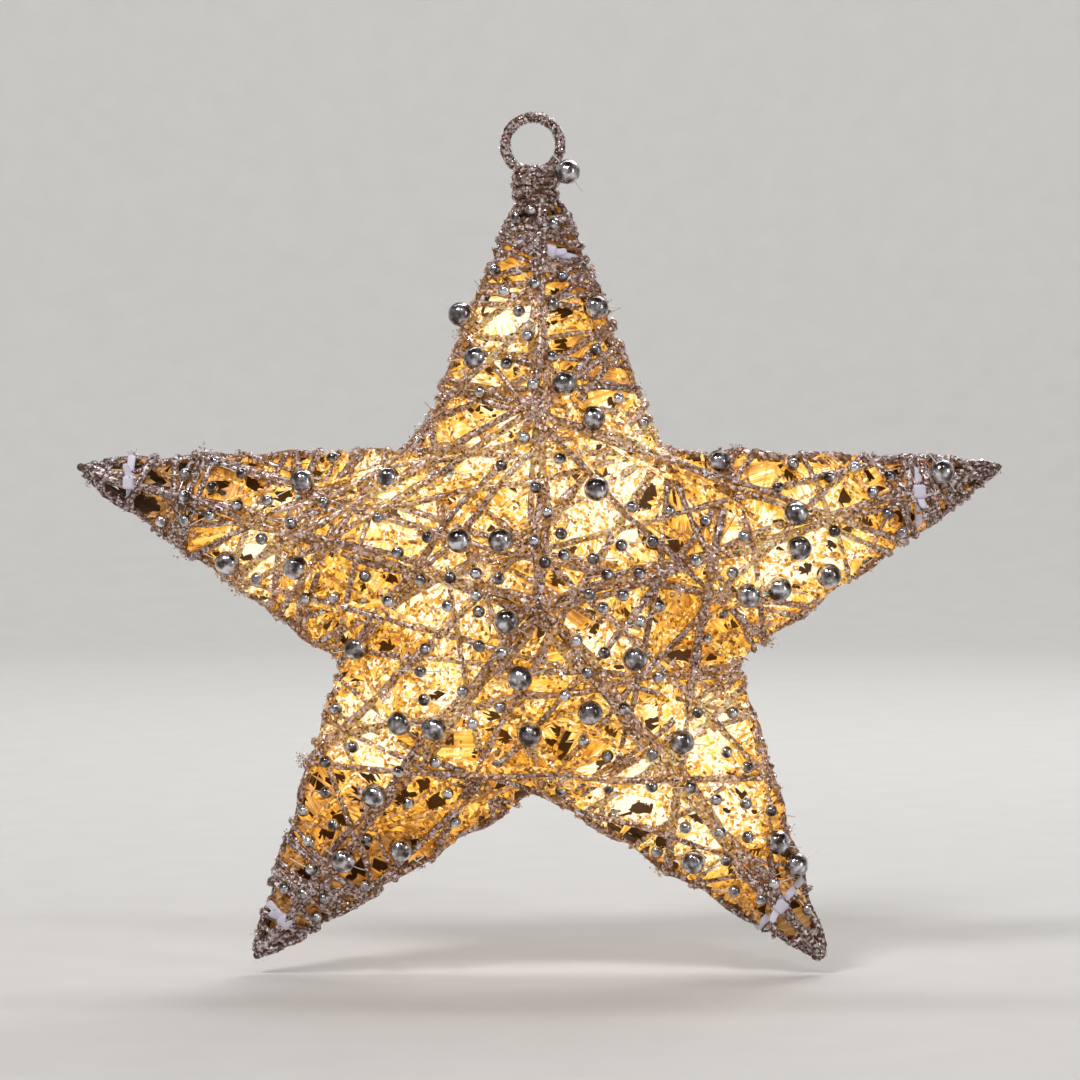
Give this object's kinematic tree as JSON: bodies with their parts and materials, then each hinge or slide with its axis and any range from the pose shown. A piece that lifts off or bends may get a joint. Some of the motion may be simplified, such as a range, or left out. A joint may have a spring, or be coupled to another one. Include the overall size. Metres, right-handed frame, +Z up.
{
  "type": "illuminated hanging star decoration",
  "caption": "Lit hanging star of wound glitter cord and straw on a wire frame, with mirror beads, an LED string and a battery box in its back.",
  "frame": {"origin": "centre of the hanging loop's hole", "axes": "+Z up as it hangs, -Y out of the front face, +X towards the right arm as seen from the front"},
  "size_m": [0.2956, 0.0754, 0.2712],
  "materials": {
    "frame_wire": "satin bronze lacquer",
    "loop_wire": "satin",
    "glitter_cord": "coarse silver-brown glitter",
    "straw": "split straw, translucent",
    "tie_nylon": "natural nylon",
    "mirror_bead": "mirror",
    "nylon": "clear gloss",
    "led_glow": "clear moulded cap",
    "socket_plastic": "gloss",
    "string_wire": "clear amber insulation",
    "grommet_rubber": "matt",
    "case_plastic": "fine texture",
    "black_plastic": "matt",
    "zinc_steel": "bright zinc",
    "nickel": "nickel plate",
    "board_green": "solder mask",
    "cell_wrap": "printed film over steel, no markings"
  },
  "bodies": {
    "star": {"outline_wire": "frame_wire", "front_ribs": "frame_wire", "back_ribs": "frame_wire", "box_cradle": "frame_wire", "hanging_loop": "loop_wire", "loop_sleeve": "glitter_cord", "neck_binding": "glitter_cord", "thread_wrap_top": "glitter_cord", "thread_wrap_right": "glitter_cord", "thread_wrap_lower_right": "glitter_cord", "thread_wrap_lower_left": "glitter_cord", "thread_wrap_left": "glitter_cord", "front_web": "glitter_cord", "back_web": "glitter_cord", "straw_front": "straw", "straw_back": "straw", "cable_tie_top": "tie_nylon", "cable_tie_right": "tie_nylon", "cable_tie_lower_right": "tie_nylon", "cable_tie_lower_left": "tie_nylon", "cable_tie_left": "tie_nylon", "large_beads": "mirror_bead", "small_beads": "mirror_bead", "bead_line": "nylon", "led_bulbs": "led_glow", "led_sockets": "socket_plastic", "string_wire": "string_wire", "lead_grommet": "grommet_rubber", "battery_case": "case_plastic", "switch_deck": "case_plastic", "deck_screws": "zinc_steel", "switch_body": "zinc_steel", "timer_board": "board_green", "timer_chip": "black_plastic", "battery_cells": "cell_wrap", "contact_plates": "nickel", "contact_springs": "nickel"},
    "battery_cover": {"battery_cover": "case_plastic"},
    "switch_slider": {"switch_slider": "black_plastic"}
  },
  "joints": [
    {"name": "cover_slide", "type": "slide", "parent": "star", "child": "battery_cover", "axis": [1, 0, 0], "range_m": [0, 0.058]},
    {"name": "switch_slide", "type": "slide", "parent": "star", "child": "switch_slider", "axis": [0, 0, 1], "range_m": [-0.002, 0.002]}
  ]
}
